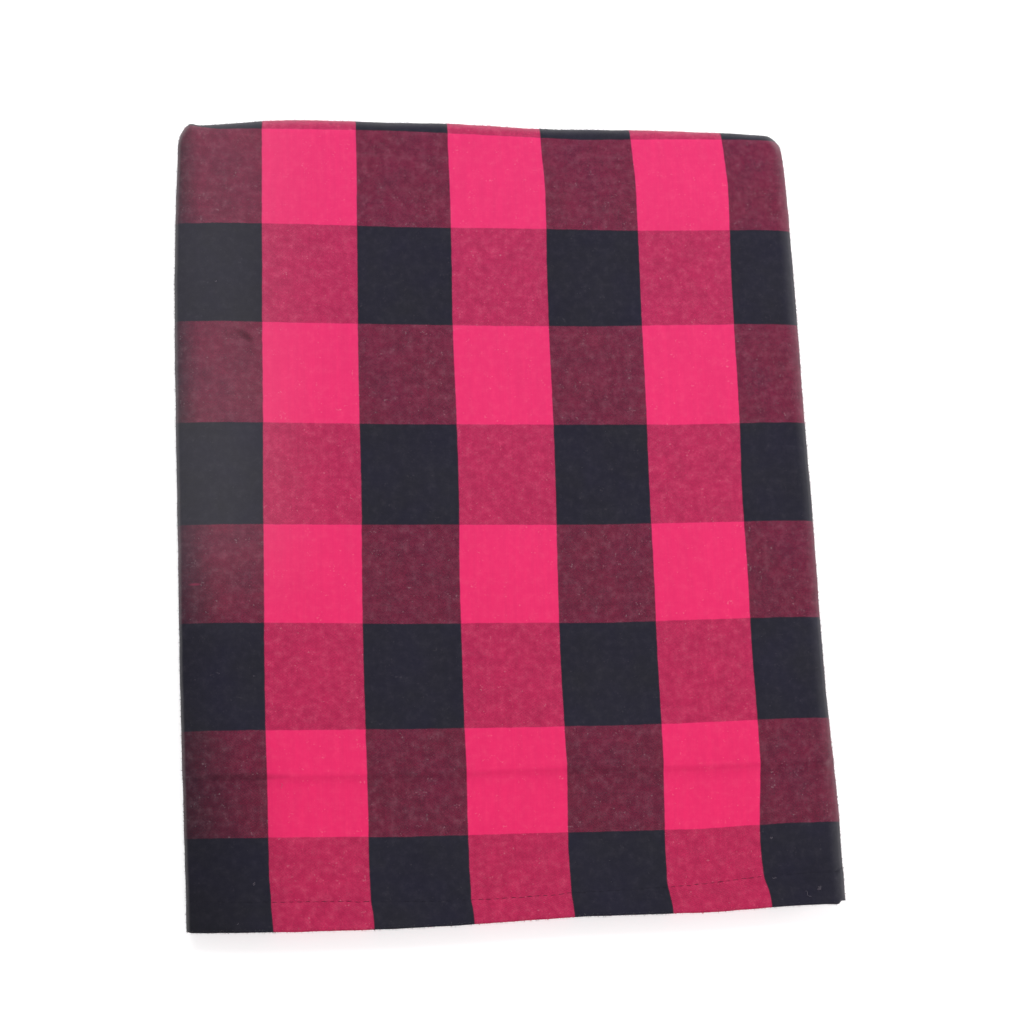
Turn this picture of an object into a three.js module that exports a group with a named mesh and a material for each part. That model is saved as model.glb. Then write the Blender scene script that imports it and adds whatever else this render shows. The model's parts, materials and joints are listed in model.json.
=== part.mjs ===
// A checked cotton wrap, folded flat.
//
// The wrap is one sheet of cloth. It is folded in half twice across its width, which makes a
// packet of four plies, and the packet is then folded in half twice along its length. The hem
// lies on top at the near end, and the whole packet rolls over at the far end.
//
// X runs across the folded wrap, Y from the hem end to the far fold, and Z is up. Sizes are in
// millimetres. The wrap lies on Z = 0, and its origin is under the middle of it.

import * as THREE from 'three';

// Driving dimensions of the cloth and of its folds.
const plyThickness = 1.0;
const plyGap = 0.4; // between the plies of a packet
const packetGap = 0.5; // between a packet and the next one
const foldedWidth = 375;
const foldedLength = 478.5;
const hemWidth = 17;
const bottomFoldInset = 2.5; // the bottom packets' fold stops this far short of the hem on top
const innerHemInset = 4; // so does the other hem, which lies inside
const lowerSelvedgeInset = 1.4; // the two selvedges stop short of the fold over them
const upperSelvedgeInset = 2.2;

// Places across and along the folded wrap where its shape is set, from its left and hem edges.
const placesAcross = [9, 60, 130, 210, 295, 369, 371.5];
const placesAlong = [hemWidth, 69, 139, 219, 299, 389];

// How far the folded wrap stands out past a true rectangle, or short of it, at shares of its
// length and of its width.
const sideShape = [
  { along: 0, left: -3.3, right: 1.6 },
  { along: 0.04, left: -2.8, right: 2.4 },
  { along: 0.14, left: -1.3, right: 3.9 },
  { along: 0.29, left: 0.1, right: 1.4 },
  { along: 0.46, left: 1.1, right: 0.1 },
  { along: 0.63, left: 2.4, right: -1.7 },
  { along: 0.81, left: 1.9, right: -3.5 },
  { along: 1, left: -0.1, right: -7.2 },
];
const endShape = [
  { across: 0, hem: -0.5, fold: -3.4 },
  { across: 0.03, hem: -0.1, fold: -2.9 },
  { across: 0.16, hem: 1.0, fold: 1.3 },
  { across: 0.35, hem: 0.9, fold: 1.1 },
  { across: 0.56, hem: -1.8, fold: -0.4 },
  { across: 0.79, hem: -2.4, fold: -0.7 },
  { across: 0.98, hem: -4.8, fold: -2.4 },
  { across: 1, hem: -4.6, fold: -2.9 },
];

// The four packets, in the order in which the cloth runs through them. Each one slips sideways a
// little, outwards on the left or right, and the lower ones peep out on the right near the hem.
const packetSlip = {
  top: { left: 0, right: 0, rightAtHem: 0 },
  bottom: { left: -1.6, right: 2.4, rightAtHem: 8.4 },
  third: { left: -0.8, right: 2.0, rightAtHem: 7.8 },
  second: { left: -2.0, right: 1.0, rightAtHem: 2.6 },
};
const slipReach = 120; // the extra slip at the hem fades out over this length

// The far corners are drawn in, and the folds at both sides are pressed lower than the middle.
const farCorners = {
  left: { pull: 6.5, reach: 8 },
  right: { pull: 7, reach: 7 },
};
const pressedEdges = {
  left: { drop: 0.13, reach: 45 },
  right: { drop: 0.06, reach: 16 },
};

const packetHeight = 4 * plyThickness + 3 * plyGap;
const plyPitch = plyThickness + plyGap;
const farRollRadius = 2 * packetHeight + 1.5 * packetGap;
const farFoldY = foldedLength - farRollRadius;
const nearFoldY = bottomFoldInset + packetHeight + packetGap / 2;
const facets = { roll: 8, fold: 6, tightFold: 4 };

// The value of one column of a table at a place, straight between its rows.
function lookUp(table, places, column, place) {
  const next = table.findIndex((row) => row[places] >= place);
  if (next <= 0) return table[next < 0 ? table.length - 1 : 0][column];
  const [a, b] = [table[next - 1], table[next]];
  return THREE.MathUtils.mapLinear(place, a[places], b[places], a[column], b[column]);
}

// How far a value is on its way between two others, from 0 to 1.
function share(value, from, to) {
  return THREE.MathUtils.clamp((value - from) / (to - from), 0, 1);
}

// Points on an arc, without its two ends, each with the outward direction there.
function arc(centre, radius, fromDegrees, toDegrees, count) {
  return Array.from({ length: count - 1 }, (_, i) => {
    const degrees = THREE.MathUtils.lerp(fromDegrees, toDegrees, (i + 1) / count);
    const angle = THREE.MathUtils.degToRad(degrees);
    const out = new THREE.Vector2(Math.cos(angle), Math.sin(angle));
    return { point: out.clone().multiplyScalar(radius).add(centre), out };
  });
}

// The middle line of the cloth in a packet, seen from the hem, with X across and Y up the packet.
// It runs in from the lower selvedge, round the left fold, over the top to the right fold, back
// under it, round the inner left fold and out to the upper selvedge. The side direction of each
// point is square to the cloth, towards the face that shows on top.
function packetLine() {
  const leftFold = new THREE.Vector2(packetHeight / 2, packetHeight / 2);
  const rightFold = new THREE.Vector2(
    foldedWidth - plyThickness - plyGap / 2,
    packetHeight - plyThickness - plyGap / 2,
  );
  const heights = [0, 1, 2, 3].map((ply) => plyThickness / 2 + ply * plyPitch);

  const run = (height, from, to, facing) => {
    const between = placesAcross.filter((x) => x > Math.min(from, to) && x < Math.max(from, to));
    const xs = [from, ...(from < to ? between : between.toReversed()), to];
    return xs.map((x) => ({ point: new THREE.Vector2(x, height), side: new THREE.Vector2(0, facing) }));
  };
  const outward = ({ point, out }) => ({ point, side: out });
  const inward = ({ point, out }) => ({ point, side: out.clone().negate() });
  const tight = plyPitch / 2;

  return [
    ...run(heights[0], foldedWidth - lowerSelvedgeInset, leftFold.x, -1),
    ...arc(leftFold, packetHeight / 2 - plyThickness / 2, 270, 90, facets.fold).map(outward),
    ...run(heights[3], leftFold.x, rightFold.x, 1),
    ...arc(rightFold, tight, 90, -90, facets.tightFold).map(outward),
    ...run(heights[2], rightFold.x, leftFold.x, -1),
    ...arc(leftFold, tight, 90, 270, facets.tightFold).map(inward),
    ...run(heights[1], leftFold.x, foldedWidth - upperSelvedgeInset, 1),
  ];
}

// The way that the packet takes, seen from the right, with X along the wrap and Y up. It starts
// at the hem on top, rolls over the far end to the bottom, turns up at the near end, back inside
// the far roll, and ends at the other hem. The up direction of each point is where the packet's
// own top lies. A point's slips say how much of each packet's sideways slip it takes.
function packetWay() {
  const middle = 2 * packetHeight + 1.5 * packetGap;
  const farFold = new THREE.Vector2(farFoldY, middle);
  const nearFold = new THREE.Vector2(nearFoldY, packetHeight + packetGap / 2);

  const run = (height, from, to, facing, packet) => {
    const between = placesAlong.filter((y) => y > Math.min(from, to) && y < Math.max(from, to));
    const ys = [from, ...(from < to ? between : between.toReversed()), to];
    return ys.map((y) => ({
      point: new THREE.Vector2(y, height),
      up: new THREE.Vector2(0, facing),
      slips: [[packet, 1]],
    }));
  };
  const turn = (centre, radius, from, to, count, facing, packets) =>
    arc(centre, radius, from, to, count).map(({ point, out }, i) => ({
      point,
      up: out.clone().multiplyScalar(facing),
      slips: [[packets[0], 1 - (i + 1) / count], [packets[1], (i + 1) / count]],
    }));

  const overRoll = packetHeight + 1.5 * packetGap;
  const insideRoll = packetHeight + packetGap / 2;
  return [
    ...run(middle + overRoll, 0, farFoldY, 1, 'top'),
    ...turn(farFold, overRoll, 90, -90, facets.roll, 1, ['top', 'bottom']),
    ...run(packetHeight, farFoldY, nearFoldY, -1, 'bottom'),
    ...turn(nearFold, packetGap / 2, 270, 90, facets.fold, 1, ['bottom', 'third']),
    ...run(packetHeight + packetGap, nearFoldY, farFoldY, 1, 'third'),
    ...turn(farFold, insideRoll, -90, 90, facets.fold, -1, ['third', 'second']),
    ...run(middle + insideRoll, farFoldY, innerHemInset, -1, 'second'),
  ];
}

// A falling curve, 1 at an edge and 0 from the end of its reach on.
function fade(distance, reach) {
  return (1 - share(distance, 0, reach)) ** 2;
}

// Moves a point of the true folded block to where the uneven cloth has it.
function lie(x, y, z, slips) {
  const across = x / foldedWidth;
  const along = y / foldedLength;
  const towardsRight = share(x, packetHeight, foldedWidth - packetHeight);
  const towardsFar = share(y, hemWidth, farFoldY);

  let left = lookUp(sideShape, 'along', 'left', along);
  let right = lookUp(sideShape, 'along', 'right', along);
  const nearHem = 1 - share(y, 0, slipReach);
  for (const [packet, weight] of slips) {
    const slip = packetSlip[packet];
    left += weight * slip.left;
    right += weight * THREE.MathUtils.lerp(slip.right, slip.rightAtHem, nearHem);
  }

  const hem = lookUp(endShape, 'across', 'hem', across);
  const drawnIn =
    farCorners.left.pull * fade(x, farCorners.left.reach) +
    farCorners.right.pull * fade(foldedWidth - x, farCorners.right.reach);
  const fold = lookUp(endShape, 'across', 'fold', across) - drawnIn;

  const pressed =
    pressedEdges.left.drop * fade(x, pressedEdges.left.reach) +
    pressedEdges.right.drop * fade(foldedWidth - x, pressedEdges.right.reach);

  return new THREE.Vector3(
    x - foldedWidth / 2 + THREE.MathUtils.lerp(-left, right, towardsRight),
    y - foldedLength / 2 + THREE.MathUtils.lerp(-hem, fold, towardsFar),
    z * (1 - pressed),
  );
}

// The folded cloth as one closed solid: the packet's outline carried along the packet's way.
function foldedCloth() {
  const line = packetLine();
  const way = packetWay();
  const face = line.map(({ point, side }) => point.clone().addScaledVector(side, plyThickness / 2));
  const back = line.map(({ point, side }) => point.clone().addScaledVector(side, -plyThickness / 2));
  const outline = [...face, ...back.toReversed()];

  const positions = [];
  for (const { point, up, slips } of way) {
    for (const { x, y: height } of outline) {
      const y = point.x + height * up.x;
      const z = point.y + height * up.y;
      positions.push(...lie(x, y, z, slips).toArray());
    }
  }

  const ring = outline.length;
  const quads = [];
  for (let step = 0; step < way.length - 1; step += 1) {
    for (let i = 0; i < ring; i += 1) {
      const [a, b] = [step * ring + i, step * ring + ((i + 1) % ring)];
      quads.push([a, b, b + ring, a + ring]);
    }
  }
  const last = (way.length - 1) * ring;
  for (let i = 0; i < line.length - 1; i += 1) {
    const [faceA, faceB, backB, backA] = [i, i + 1, ring - 2 - i, ring - 1 - i];
    quads.push([faceA, backA, backB, faceB]);
    quads.push([last + faceA, last + faceB, last + backB, last + backA]);
  }

  const geometry = new THREE.BufferGeometry();
  geometry.setAttribute('position', new THREE.Float32BufferAttribute(positions, 3));
  geometry.setIndex(quads.flatMap(([a, b, c, d]) => [a, b, c, a, c, d]));
  geometry.computeBoundingBox();
  const middle = geometry.boundingBox.getCenter(new THREE.Vector3());
  geometry.translate(-middle.x, -middle.y, 0);
  geometry.computeVertexNormals();
  return geometry;
}

const checkedCotton = new THREE.MeshStandardMaterial({
  color: 0xa02c4c,
  roughness: 0.95,
  metalness: 0,
});

const cloth = new THREE.Mesh(foldedCloth(), checkedCotton);
cloth.name = 'shuka_cloth';

const group = new THREE.Group();
group.add(cloth);

export default group;
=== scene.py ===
import json
import math

import bpy
import numpy as np
from mathutils import Euler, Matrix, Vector

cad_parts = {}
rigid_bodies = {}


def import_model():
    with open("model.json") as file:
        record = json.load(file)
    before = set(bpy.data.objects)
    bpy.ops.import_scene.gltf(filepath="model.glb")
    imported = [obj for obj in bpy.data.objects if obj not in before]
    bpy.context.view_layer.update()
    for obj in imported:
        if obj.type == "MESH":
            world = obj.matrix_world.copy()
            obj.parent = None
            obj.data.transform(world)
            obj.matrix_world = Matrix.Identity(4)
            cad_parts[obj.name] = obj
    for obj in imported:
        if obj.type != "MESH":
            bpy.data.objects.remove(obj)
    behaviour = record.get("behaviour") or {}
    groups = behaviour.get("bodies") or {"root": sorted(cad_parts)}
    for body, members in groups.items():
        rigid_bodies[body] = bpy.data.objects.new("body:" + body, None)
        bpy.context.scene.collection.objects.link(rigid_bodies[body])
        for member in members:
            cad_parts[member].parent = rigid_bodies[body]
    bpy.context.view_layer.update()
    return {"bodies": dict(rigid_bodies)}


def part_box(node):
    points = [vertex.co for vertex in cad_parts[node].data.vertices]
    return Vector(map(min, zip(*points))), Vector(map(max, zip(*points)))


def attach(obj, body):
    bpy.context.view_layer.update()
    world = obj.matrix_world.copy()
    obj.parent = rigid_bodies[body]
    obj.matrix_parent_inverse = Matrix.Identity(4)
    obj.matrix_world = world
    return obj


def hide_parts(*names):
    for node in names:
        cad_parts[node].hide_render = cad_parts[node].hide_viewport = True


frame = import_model()
body = next(iter(frame["bodies"]))

# The folded cloth
# One length of plain-weave cotton, hemmed at both short ends. It is folded in half twice across its
# width, which makes a packet of four plies, and the packet is then folded in half twice along its
# length, with the hem on top at the near end and a roll of the whole packet at the far end.

ply_thickness = 0.001
ply_gap = 0.0004
packet_gap = 0.0005
folded_width = 0.375
folded_length = 0.4785
hem_width = 0.017
bottom_fold_inset = 0.0025
inner_hem_inset = 0.004
lower_selvedge_inset = 0.0014
upper_selvedge_inset = 0.0022

packet_height = 4 * ply_thickness + 3 * ply_gap
ply_pitch = ply_thickness + ply_gap
pack_height = 4 * packet_height + 3 * packet_gap
far_fold_y = folded_length - pack_height / 2
near_fold_y = bottom_fold_inset + packet_height + packet_gap / 2

# How far the pack stands out past a true rectangle, or short of it, at shares of its length and
# of its width.
side_shape = [
    {"along": 0.00, "left": -0.0029, "right": 0.0016},
    {"along": 0.04, "left": -0.0024, "right": 0.0021},
    {"along": 0.14, "left": -0.0013, "right": 0.0035},
    {"along": 0.29, "left": 0.0003, "right": 0.0013},
    {"along": 0.46, "left": 0.0012, "right": -0.0001},
    {"along": 0.63, "left": 0.0022, "right": -0.0019},
    {"along": 0.81, "left": 0.0025, "right": -0.0034},
    {"along": 0.85, "left": 0.0022, "right": -0.0038},
    {"along": 0.92, "left": 0.0013, "right": -0.0048},
    {"along": 0.96, "left": 0.0006, "right": -0.0056},
    {"along": 1.00, "left": -0.0001, "right": -0.0074},
]
end_shape = [
    {"across": 0.00, "hem": -0.0005, "fold": -0.0034},
    {"across": 0.03, "hem": -0.0001, "fold": -0.0029},
    {"across": 0.16, "hem": 0.0008, "fold": 0.0011},
    {"across": 0.35, "hem": 0.0006, "fold": 0.0011},
    {"across": 0.46, "hem": -0.0007, "fold": 0.0010},
    {"across": 0.56, "hem": -0.0022, "fold": -0.0006},
    {"across": 0.79, "hem": -0.0028, "fold": -0.0006},
    {"across": 0.98, "hem": -0.0049, "fold": -0.0024},
    {"across": 1.00, "hem": -0.0045, "fold": -0.0029},
]

# The four packets, in the order in which the cloth runs through them, and the four plies of each
# from the lowest up. A packet slips sideways a little, more so over a reach from the hem, and a ply's
# hem ends short of the top one's.
packet_slip = [
    {"left": 0.0, "right": 0.0003, "right_at_hem": 0.0046, "reach": 0.095},
    {"left": -0.0016, "right": 0.0011, "right_at_hem": 0.0060, "reach": 0.075},
    {"left": -0.0008, "right": 0.0009, "right_at_hem": 0.0052, "reach": 0.075},
    {"left": -0.0020, "right": 0.0005, "right_at_hem": 0.0030, "reach": 0.066},
]
ply_hem_inset = [0.0016, 0.0005, 0.0010, 0.0]
hem_inset_reach = 0.030
hem_corner = {"short": 0.0024, "width": 0.0044, "blend": 0.0010}

far_corners = {"left": {"pull": 0.0053, "reach": 0.0075}, "right": {"pull": 0.0050, "reach": 0.0078}}
pressed_edges = {"left": {"drop": 0.13, "reach": 0.045}, "right": {"drop": 0.10, "reach": 0.013}}
corner_ear = {"x": 0.0062, "out": 0.0016, "reach": 0.0042}

# Soft creases and waves of the upper plies. The crease across the pack is an old fold: the cloth
# rises to it from the far side, drops on its near side and then comes up again.
crease = {"left_y": 0.0870, "right_y": 0.0835, "rise": 0.00035, "rise_reach": 0.012}
crease_drop = {"depth": 0.0017, "lip": 0.0035, "recovery": 0.055}
waves = [
    {"across": 0.115, "along": 0.310, "turn": 0.4, "height": 0.00025},
    {"across": -0.260, "along": 0.105, "turn": 2.1, "height": 0.00022},
    {"across": 0.170, "along": -0.150, "turn": 4.0, "height": 0.00018},
]
waves_begin = 0.03

# The small waves of every edge, and where they start in each packet and on each side.
edge_waves = [
    {"length": 0.0173, "height": 0.00004, "turns": 1.0},
    {"length": 0.0291, "height": 0.00005, "turns": 1.7},
    {"length": 0.0470, "height": 0.00006, "turns": 2.9},
]
packet_phase = [0.3, 2.2, 4.4, 5.3]
side_phase = {"left": 0.0, "right": 2.0, "hem": 4.0, "far": 1.0}

# The hem is turned under and stitched, so it is thicker, and its line of stitches is drawn in.
stitch_line = [
    {"across": 0.00, "from_edge": 0.0170},
    {"across": 0.18, "from_edge": 0.0165},
    {"across": 0.50, "from_edge": 0.0134},
    {"across": 0.73, "from_edge": 0.0154},
    {"across": 0.87, "from_edge": 0.0180},
    {"across": 1.00, "from_edge": 0.0186},
]
hem_bulk = 0.25
hem_step = {"start": -0.0005, "full": 0.0015}
stitch_dent = {"share": 0.22, "reach": 0.0010}

# The distances between the points of the mesh, and how far its finer parts reach.
step = {"top": 0.0041, "fine": 0.0015, "hem": 0.0011, "hidden": 0.021}
edge_steps = np.array([0.00003, 0.00016, 0.0005])
fine_beside = {"left": 0.012, "right": 0.010, "hem": 0.022, "crease_near": 0.018, "crease_far": 0.006}
facets = {"far_roll": 16, "inner_roll": 10, "near_fold": 8, "left_fold": 10, "tight_fold": 6}


def places(start, stop, most):
    """Places from start to stop, both included and no further apart than the most."""
    return np.linspace(start, stop, math.ceil(abs(stop - start) / most) + 1)


def joined(*stretches):
    """Stretches of places as one, each place named once."""
    return np.concatenate([stretches[0], *(stretch[1:] for stretch in stretches[1:])])


def run(layer, height, at, facing):
    """A straight stretch: place, height, two parts of its outward direction, and layer shares."""
    rows = np.zeros((len(at), 8))
    rows[:, 0] = at
    rows[:, 1] = height
    rows[:, 3] = facing
    rows[:, 4 + layer] = 1
    return rows


def fold(layers, centre, radius, start, stop, count, facing):
    """A round fold between two layers, without its two ends. Angles are in degrees."""
    way_round = np.linspace(0, 1, count + 1)[1:-1]
    angle = np.radians(start + (stop - start) * way_round)
    out = np.column_stack([np.cos(angle), np.sin(angle)])
    rows = np.zeros((len(way_round), 8))
    rows[:, 0:2] = np.array(centre) + radius * out
    rows[:, 2:4] = out * facing
    rows[:, 4 + layers[0]] = 1 - way_round
    rows[:, 4 + layers[1]] = way_round
    return rows


def packet_line():
    """The middle line of a packet's cloth, seen from the hem, from the lower selvedge up."""
    left = (packet_height / 2, packet_height / 2)
    right = (
        folded_width - ply_thickness - ply_gap / 2,
        packet_height - ply_thickness - ply_gap / 2,
    )
    height = [ply_thickness / 2 + ply * ply_pitch for ply in range(4)]
    lower_edge = folded_width - lower_selvedge_inset - edge_steps
    upper_edge = folded_width - upper_selvedge_inset - edge_steps[::-1]
    inner_left = fine_beside["left"]
    inner_right = folded_width - fine_beside["right"]
    top = joined(
        places(left[0], inner_left, step["fine"]),
        places(inner_left, inner_right, step["top"]),
        places(inner_right, right[0], step["fine"]),
    )
    lowest = joined(lower_edge, places(lower_edge[-1], left[0], step["hidden"]))
    second = joined(places(left[0], upper_edge[0], step["hidden"]), upper_edge)
    loose = (packet_height - ply_thickness) / 2
    tight = ply_pitch / 2
    return np.concatenate([
        run(0, height[0], lowest, -1),
        fold((0, 3), left, loose, 270, 90, facets["left_fold"], 1),
        run(3, height[3], top, 1),
        fold((3, 2), right, tight, 90, -90, facets["tight_fold"], 1),
        run(2, height[2], places(right[0], left[0], step["hidden"]), -1),
        fold((2, 1), left, tight, 90, 270, facets["tight_fold"], -1),
        run(1, height[1], second, 1),
    ])


def packet_way():
    """The way that the packet takes, seen from the right, from the hem on top to the other hem."""
    middle = pack_height / 2
    outer = packet_height + 1.5 * packet_gap
    inner = packet_height + packet_gap / 2
    crease_y = (crease["left_y"] + crease["right_y"]) / 2
    before_crease = crease_y - fine_beside["crease_near"]
    past_crease = crease_y + fine_beside["crease_far"]
    top = joined(
        edge_steps,
        places(edge_steps[-1], fine_beside["hem"], step["hem"]),
        places(fine_beside["hem"], before_crease, step["top"]),
        places(before_crease, past_crease, step["fine"]),
        places(past_crease, far_fold_y, step["top"]),
    )
    inner_hem = inner_hem_inset + edge_steps[::-1]
    last = joined(places(far_fold_y, inner_hem[0], step["hidden"]), inner_hem)
    return np.concatenate([
        run(0, middle + outer, top, 1),
        fold((0, 1), (far_fold_y, middle), outer, 90, -90, facets["far_roll"], 1),
        run(1, packet_height, places(far_fold_y, near_fold_y, step["hidden"]), -1),
        fold((1, 2), (near_fold_y, inner), packet_gap / 2, 270, 90, facets["near_fold"], 1),
        run(2, packet_height + packet_gap, places(near_fold_y, far_fold_y, step["hidden"]), 1),
        fold((2, 3), (far_fold_y, middle), inner, -90, 90, facets["inner_roll"], -1),
        run(3, middle + inner, last, -1),
    ])


def share(value, start, stop):
    """How far a value is on its way between two others, from 0 to 1."""
    return np.clip((value - start) / (stop - start), 0, 1)


def fade(distance, reach):
    """A falling curve, 1 at an edge and 0 from the end of its reach on."""
    return (1 - share(distance, 0, reach)) ** 2


def hump(distance, reach):
    """A round hump, 1 in its middle."""
    return np.exp(-((distance / reach) ** 2))


def eased(table, place, column, at):
    """The value of a table's column at each place, on a smooth curve through its rows."""
    spots = np.array([row[place] for row in table])
    values = np.array([row[column] for row in table])
    slopes = np.gradient(values, spots)
    i = np.clip(np.searchsorted(spots, at) - 1, 0, len(spots) - 2)
    width = spots[i + 1] - spots[i]
    t = np.clip((at - spots[i]) / width, 0, 1)
    bend = t * t * (3 - 2 * t)
    return (
        values[i] * (1 - bend)
        + values[i + 1] * bend
        + slopes[i] * width * t * (1 - t) ** 2
        - slopes[i + 1] * width * t * t * (1 - t)
    )


def relief(x, y):
    """How far the top of the pack stands up or sinks at a place."""
    rise = sum(
        wave["height"] * np.sin(2 * math.pi * (x / wave["across"] + y / wave["along"]) + wave["turn"])
        for wave in waves
    )
    crease_y = crease["left_y"] + (crease["right_y"] - crease["left_y"]) * x / folded_width
    ridge = crease["rise"] * np.exp(-np.abs(y - crease_y) / crease["rise_reach"])
    below = np.minimum(y - crease_y, 0)
    drop = (1 - np.exp(below / crease_drop["lip"])) * np.exp(below / crease_drop["recovery"])
    return rise * share(y, 0, waves_begin) + ridge - crease_drop["depth"] * drop


def flutter(at, turn):
    """The small unevenness of an edge at each place along it."""
    return sum(
        wave["height"] * np.sin(2 * math.pi * at / wave["length"] + turn * wave["turns"])
        for wave in edge_waves
    )


def lie(x, y, z, packets, plies):
    """Where the uneven cloth has each point of the true folded block, from the block's corner."""
    along = y / folded_length
    across = x / folded_width
    left = eased(side_shape, "along", "left", along)
    right = eased(side_shape, "along", "right", along)
    for slip, weight in zip(packet_slip, packets):
        near_hem = 1 - share(y, 0, slip["reach"])
        left = left + weight * slip["left"]
        right = right + weight * (slip["right"] + (slip["right_at_hem"] - slip["right"]) * near_hem)

    inset = sum(amount * weight for amount, weight in zip(ply_hem_inset, plies))
    ends = packets[0] + packets[3]
    hem = eased(end_shape, "across", "hem", across) - inset * ends * fade(y, hem_inset_reach)
    corner_x = folded_width - hem_corner["width"]
    hem = hem - hem_corner["short"] * packets[0] * share(x, corner_x, corner_x + hem_corner["blend"])
    far = eased(end_shape, "across", "fold", across)
    far = far - far_corners["left"]["pull"] * fade(x, far_corners["left"]["reach"])
    from_right = folded_width - x
    far = far - far_corners["right"]["pull"] * fade(from_right, far_corners["right"]["reach"])
    far = far + corner_ear["out"] * hump(x - corner_ear["x"], corner_ear["reach"])

    turn = sum(weight * phase for weight, phase in zip(packets, packet_phase))
    left = left + flutter(y, turn + side_phase["left"])
    right = right + flutter(y, turn + side_phase["right"])
    hem = hem + flutter(x, turn + side_phase["hem"])
    far = far + flutter(x, turn + side_phase["far"])
    pressed = pressed_edges["left"]["drop"] * fade(x, pressed_edges["left"]["reach"])
    pressed = pressed + pressed_edges["right"]["drop"] * fade(from_right, pressed_edges["right"]["reach"])
    towards_right = share(x, packet_height, folded_width - packet_height)
    towards_far = share(y, hem_width, far_fold_y)
    upper = share(z, pack_height / 2, pack_height)
    return np.stack([
        x - left * (1 - towards_right) + right * towards_right,
        y - hem * (1 - towards_far) + far * towards_far,
        z * (1 - pressed) + relief(x, y) * upper,
    ], axis=-1)


def round_edge(distance):
    """The share of its thickness that cloth has near an edge, which is round."""
    return np.sqrt(1 - (1 - share(distance, 0, ply_thickness / 2)) ** 2)


line = packet_line()
way = packet_way()
line_x, line_height = line[:, 0], line[:, 1]
packets = [way[:, 4 + layer][:, None] for layer in range(4)]
plies = [line[:, 4 + layer][None, :] for layer in range(4)]

# How thick the cloth is at each point: round at selvedges and hems, thicker in the hems, and drawn
# in along the stitches. The plies without a selvedge or hem of their own count as far away from it.
far_away = 1.0
from_selvedge = np.where(
    line[:, 4] > 0.5,
    folded_width - lower_selvedge_inset - line_x,
    np.where(line[:, 5] > 0.5, folded_width - upper_selvedge_inset - line_x, far_away),
)[None, :]
from_hem = np.where(
    way[:, 4] > 0.5,
    way[:, 0],
    np.where(way[:, 7] > 0.5, way[:, 0] - inner_hem_inset, far_away),
)[:, None]
stitches_at = eased(stitch_line, "across", "from_edge", line_x / folded_width)[None, :]
in_hem = share(stitches_at - from_hem, hem_step["start"], hem_step["full"])
half_ply = ply_thickness / 2 * round_edge(from_selvedge) * round_edge(from_hem)
half_ply = half_ply * (1 + hem_bulk * in_hem)
half_ply = half_ply * (1 - stitch_dent["share"] * hump(from_hem - stitches_at, stitch_dent["reach"]))


def layer_of_points(side, packets):
    """Points on one side of the cloth, or on its middle at side 0, one row for each step."""
    x = line_x[None, :] + side * half_ply * line[:, 2][None, :]
    height = line_height[None, :] + side * half_ply * line[:, 3][None, :]
    y = way[:, 0][:, None] + height * way[:, 2][:, None]
    z = way[:, 1][:, None] + height * way[:, 3][:, None]
    return lie(x + 0 * y, y, z, packets, plies)


face = layer_of_points(1, packets)
back = layer_of_points(-1, packets)
middle_sheet = layer_of_points(0, packets)

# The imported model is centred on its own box, so the cloth is moved onto the middle of that box.
node_low, node_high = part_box("shuka_cloth")
both = np.concatenate([face.reshape(-1, 3), back.reshape(-1, 3)])
offset = np.array([
    (node_low.x + node_high.x - both[:, 0].min() - both[:, 0].max()) / 2,
    (node_low.y + node_high.y - both[:, 1].min() - both[:, 1].max()) / 2,
    0,
])
face, back, middle_sheet = face + offset, back + offset, middle_sheet + offset
unslipped_sheet = layer_of_points(0, [np.ones_like(packets[0]), 0, 0, 0]) + offset

# The weave's own coordinates, in metres of cloth. On top they agree with the place on the pack, and
# round the folds they follow the length of the cloth.
top_column = int(np.argmax(line[:, 7] * (line_x > folded_width / 2)))
top_row = int(np.argmax(way[:, 4] * (way[:, 0] > folded_length / 2)))


def lengths(points, axis, start):
    """The length of cloth from a start to each point, along rows or along columns."""
    steps = np.linalg.norm(np.diff(points, axis=axis), axis=2)
    total = np.cumsum(steps, axis=axis)
    total = np.insert(total, 0, 0, axis=axis)
    return total - np.take(total, [start], axis=axis)


cloth_across = lengths(middle_sheet, 1, top_column) + unslipped_sheet[:, top_column, 0][:, None]
cloth_along = lengths(middle_sheet, 0, top_row) + middle_sheet[top_row, :, 1][None, :]

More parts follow.
